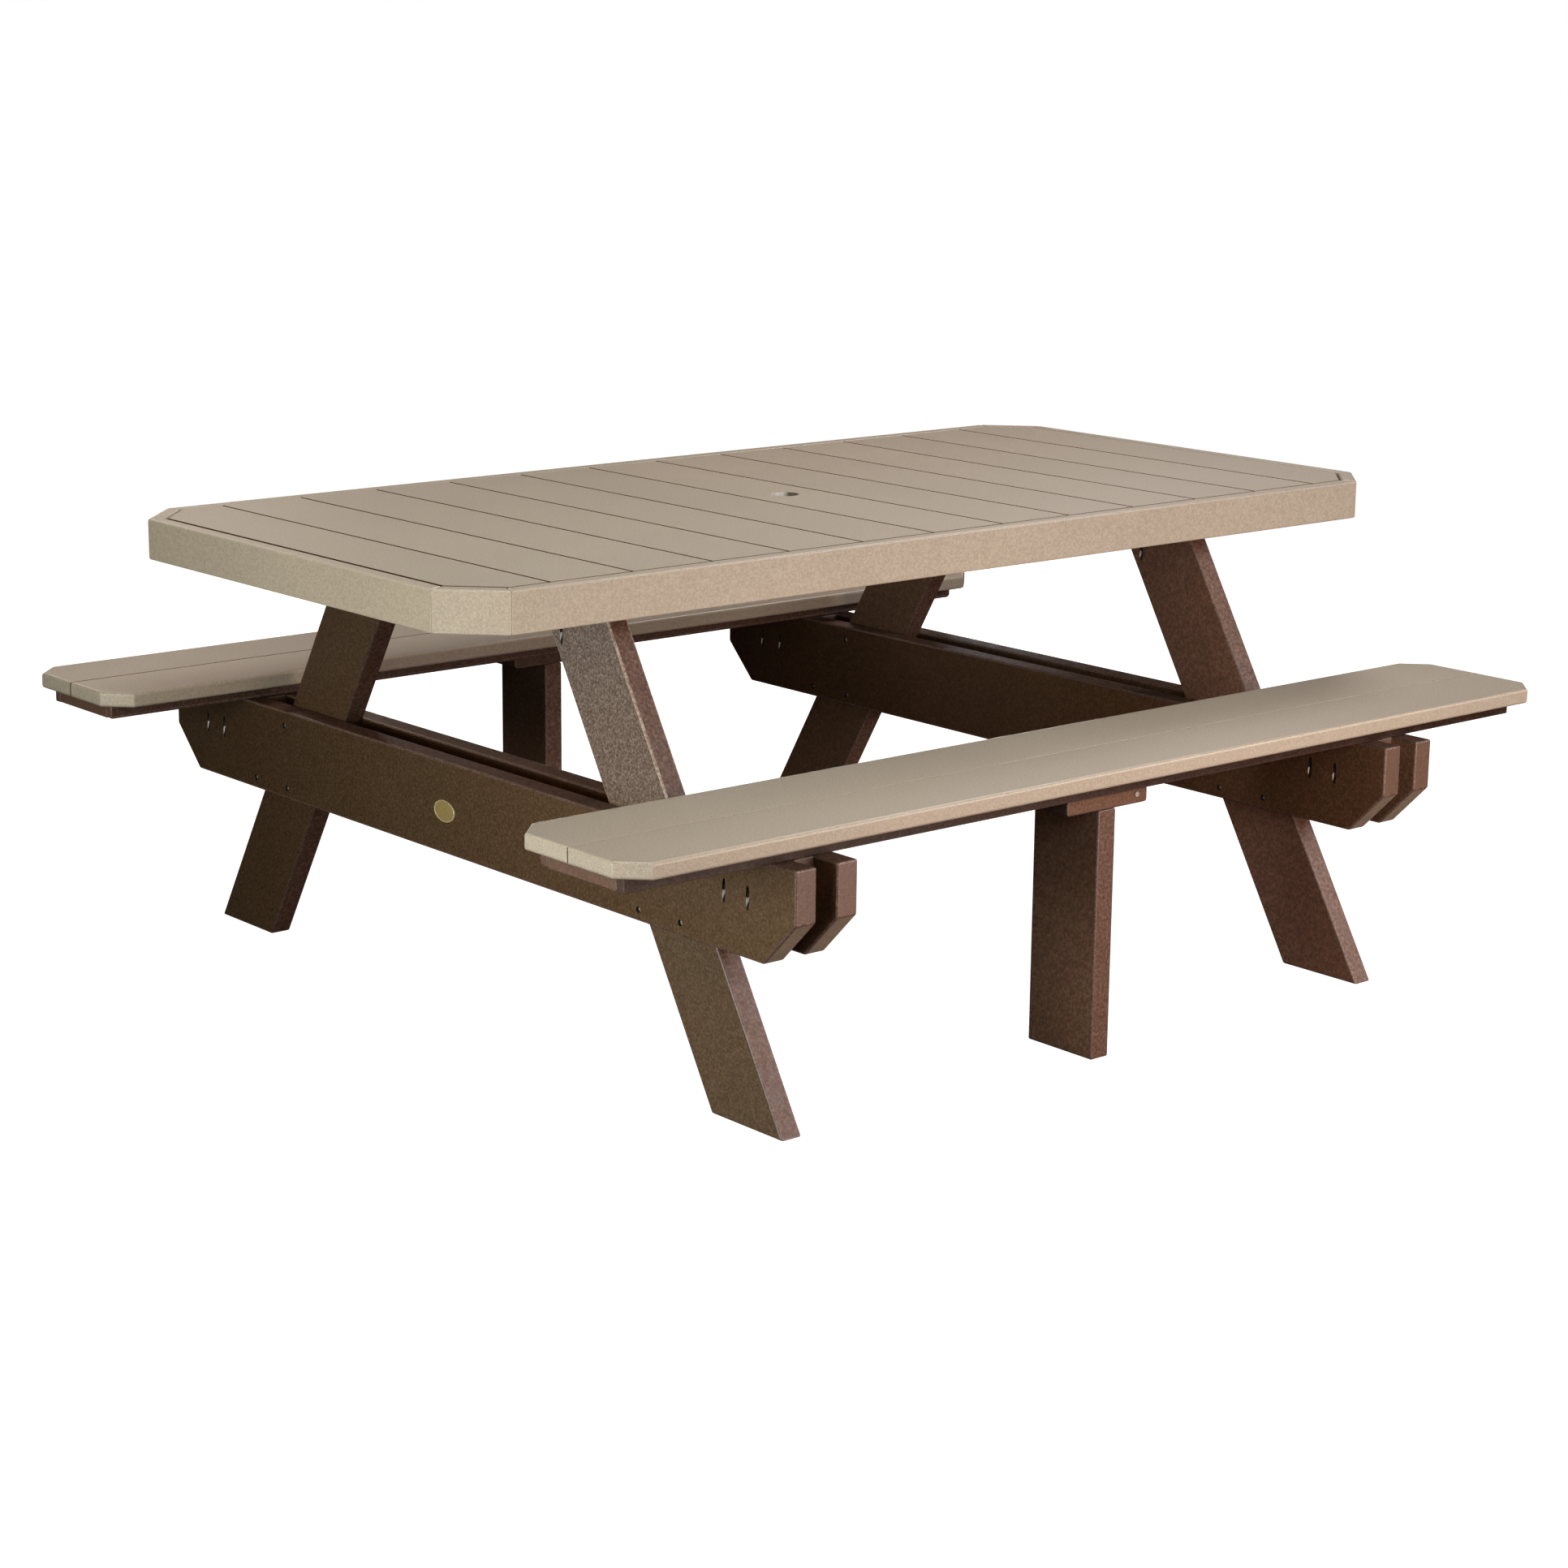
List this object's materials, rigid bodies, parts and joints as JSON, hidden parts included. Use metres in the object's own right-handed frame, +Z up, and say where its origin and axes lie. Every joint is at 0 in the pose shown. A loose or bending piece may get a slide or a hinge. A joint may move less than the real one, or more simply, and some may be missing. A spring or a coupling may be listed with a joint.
{
  "type": "picnic table",
  "caption": "Octagonal slatted picnic table with attached benches on splayed end frames, centre posts and an umbrella hole.",
  "frame": {"origin": "on the ground at the middle of the table's footprint", "axes": "+X along the table's length, +Y across it towards the rear bench, +Z up"},
  "size_m": [1.9686, 1.6866, 0.7899],
  "materials": {
    "slat_boards": "speckled weathered tan plastic lumber, fine grain",
    "apron_boards": "speckled weathered tan plastic lumber, fine grain",
    "seat_boards": "speckled weathered tan plastic lumber, fine grain",
    "frame_boards": "speckled chestnut brown plastic lumber, fine grain",
    "badge": "satin aged brass, plain",
    "steel_screws": "bright stainless screws"
  },
  "bodies": {
    "root": {"apron_corner_front_left": "apron_boards", "apron_corner_front_right": "apron_boards", "apron_corner_rear_left": "apron_boards", "apron_corner_rear_right": "apron_boards", "apron_front": "apron_boards", "apron_left_end": "apron_boards", "apron_rear": "apron_boards", "apron_right_end": "apron_boards", "badge": "badge", "beam_left_inner": "frame_boards", "beam_left_outer": "frame_boards", "beam_right_inner": "frame_boards", "beam_right_outer": "frame_boards", "bearer_front": "frame_boards", "bearer_rear": "frame_boards", "bearer_strip_inner_front": "frame_boards", "bearer_strip_inner_rear": "frame_boards", "bearer_strip_outer_front": "frame_boards", "bearer_strip_outer_rear": "frame_boards", "centre_post_front": "frame_boards", "centre_post_rear": "frame_boards", "cleat_screw_front": "steel_screws", "cleat_screw_rear": "steel_screws", "leg_left_front": "frame_boards", "leg_left_rear": "frame_boards", "leg_right_front": "frame_boards", "leg_right_rear": "frame_boards", "post_cleat_front": "frame_boards", "post_cleat_rear": "frame_boards", "seat_front_inner": "seat_boards", "seat_front_outer": "seat_boards", "seat_rear_inner": "seat_boards", "seat_rear_outer": "seat_boards", "slat_01": "slat_boards", "slat_02": "slat_boards", "slat_03": "slat_boards", "slat_04": "slat_boards", "slat_05": "slat_boards", "slat_06": "slat_boards", "slat_07": "slat_boards", "slat_08": "slat_boards", "slat_09": "slat_boards", "slat_10": "slat_boards", "slat_11": "slat_boards", "slat_12": "slat_boards", "slat_13": "slat_boards", "spacer_block_left_front": "frame_boards", "spacer_block_left_rear": "frame_boards", "spacer_block_right_front": "frame_boards", "spacer_block_right_rear": "frame_boards", "stringer_front": "frame_boards", "stringer_rear": "frame_boards"}
  },
  "joints": []
}
